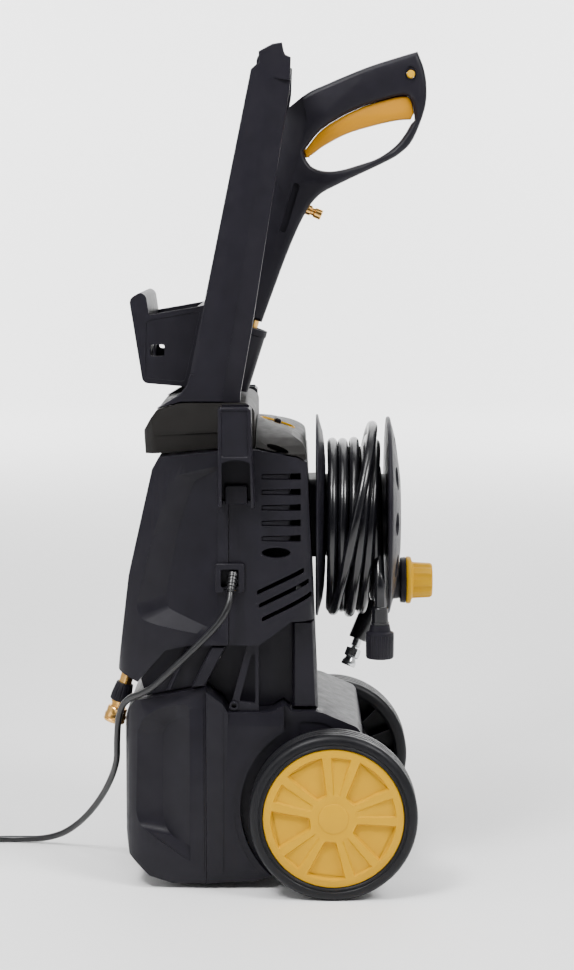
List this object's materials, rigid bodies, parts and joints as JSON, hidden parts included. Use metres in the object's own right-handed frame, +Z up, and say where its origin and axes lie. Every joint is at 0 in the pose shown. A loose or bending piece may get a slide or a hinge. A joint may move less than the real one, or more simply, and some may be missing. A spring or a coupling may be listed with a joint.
{
  "type": "pressure washer",
  "caption": "Upright electric pressure washer with spray gun, hose reel, lance holders, basket, two wheels, mains cord and water inlet.",
  "frame": {"origin": "on the floor, under the middle of the machine's bounding box without its mains cord and hose", "axes": "+X towards the rear (hose reel and wheels), +Y towards the machine's right side, +Z up"},
  "size_m": [0.6595, 0.332, 0.886],
  "materials": {
    "black_plastic": "fine grained moulded polypropylene, satin",
    "hood_plastic": "smooth moulded plastic, satin",
    "yellow_plastic": "satin moulded plastic",
    "trigger_plastic": "smooth moulded plastic",
    "tyre": "matt hard rubber",
    "foot_rubber": "matt rubber",
    "hose_rubber": "smooth, slightly glossy",
    "cord_pvc": "smooth satin",
    "brass": "turned",
    "steel": "plated",
    "aluminium": "die cast"
  },
  "bodies": {
    "chassis": {"lower_front_cover": "black_plastic", "base_housing": "black_plastic", "neck_cover": "black_plastic", "upper_front_cover": "black_plastic", "rear_cover": "black_plastic", "rear_tower": "black_plastic", "top_hood": "hood_plastic", "top_rear_cover": "hood_plastic", "handle_arm_left": "black_plastic", "handle_arm_right": "black_plastic", "handle_grip": "black_plastic", "accessory_basket": "black_plastic", "gun_holster": "black_plastic", "side_holster_left": "black_plastic", "side_holster_right": "black_plastic", "side_brace_left": "black_plastic", "side_brace_right": "black_plastic", "foot_left": "foot_rubber", "foot_right": "foot_rubber", "wheel_axle": "steel", "reel_bracket": "black_plastic", "reel_axle": "steel", "switch_bezel": "yellow_plastic", "switch_body": "black_plastic", "cord_gland": "black_plastic", "strain_relief": "cord_pvc", "power_cord": "cord_pvc", "power_cord_coil": "cord_pvc", "power_plug": "cord_pvc", "inlet_spigot": "brass", "quick_coupler": "brass", "motor": "steel", "pump": "aluminium", "capacitor": "aluminium"},
    "wheel_left": {"wheel_left": "tyre", "wheel_cap_left": "yellow_plastic"},
    "wheel_right": {"wheel_right": "tyre", "wheel_cap_right": "yellow_plastic"},
    "reel": {"reel_inner_flange": "black_plastic", "reel_drum": "black_plastic", "reel_outer_flange": "black_plastic", "hose_coil": "hose_rubber", "hose_end_gun": "hose_rubber", "hose_bend_guard": "hose_rubber", "gun_connector": "steel", "hose_end_pump": "hose_rubber"},
    "crank_knob": {"crank_knob": "yellow_plastic"},
    "hose_nut": {"hose_nut": "black_plastic"},
    "gun": {"gun_shell_left": "black_plastic", "gun_shell_right": "black_plastic", "gun_plug": "brass", "gun_valve": "brass", "gun_barrel": "brass"},
    "gun_trigger": {"gun_trigger": "trigger_plastic"},
    "safety_button": {"safety_button": "yellow_plastic"},
    "switch_knob": {"switch_knob": "black_plastic"},
    "inlet_collar": {"inlet_collar": "black_plastic"},
    "coupler_sleeve": {"coupler_sleeve": "brass"},
    "motor_rotor": {"motor_shaft": "steel", "motor_fan": "black_plastic"}
  },
  "joints": [
    {"name": "wheel_left_spin", "type": "hinge", "parent": "chassis", "child": "wheel_left", "pos_m": [0.07, -0.144, 0.088], "axis": [0, 1, 0], "continuous": true},
    {"name": "wheel_right_spin", "type": "hinge", "parent": "chassis", "child": "wheel_right", "pos_m": [0.07, 0.144, 0.088], "axis": [0, 1, 0], "continuous": true},
    {"name": "reel_turn", "type": "hinge", "parent": "chassis", "child": "reel", "pos_m": [0.0624, 0, 0.385], "axis": [1, 0, 0], "continuous": true},
    {"name": "crank_knob_spin", "type": "hinge", "parent": "reel", "child": "crank_knob", "pos_m": [0.152, 0, 0.313], "axis": [1, 0, 0], "continuous": true},
    {"name": "hose_nut_spin", "type": "hinge", "parent": "reel", "child": "hose_nut", "pos_m": [0.1195, -0.0895, 0.265], "axis": [0, 0, 1], "continuous": true},
    {"name": "gun_lift", "type": "slide", "parent": "chassis", "child": "gun", "axis": [0.3, 0, 0.9539], "range_m": [0, 0.09]},
    {"name": "trigger_pull", "type": "hinge", "parent": "gun", "child": "gun_trigger", "pos_m": [0.03, 0, 0.7745], "axis": [0, -1, 0], "range_deg": [0, 8], "stiffness_Nm_per_rad": 1.5, "springref_deg": -11.46},
    {"name": "safety_push", "type": "slide", "parent": "gun", "child": "safety_button", "axis": [0, 1, 0], "range_m": [0, 0.004]},
    {"name": "switch_turn", "type": "hinge", "parent": "chassis", "child": "switch_knob", "pos_m": [0.01, 0, 0.4873], "axis": [0.2961, 0, 0.9552], "range_deg": [0, 90]},
    {"name": "inlet_collar_spin", "type": "hinge", "parent": "chassis", "child": "inlet_collar", "pos_m": [-0.15888, -0.03, 0.19451], "axis": [0.2891, 0, 0.9573], "continuous": true},
    {"name": "coupler_sleeve_push", "type": "slide", "parent": "chassis", "child": "coupler_sleeve", "axis": [0.2891, 0, 0.9573], "range_m": [0, 0.004], "stiffness_N_per_m": 800, "springref_m": -0.004},
    {"name": "motor_spin", "type": "hinge", "parent": "chassis", "child": "motor_rotor", "pos_m": [-0.068, 0, 0.385], "axis": [0, 0, 1], "continuous": true}
  ]
}
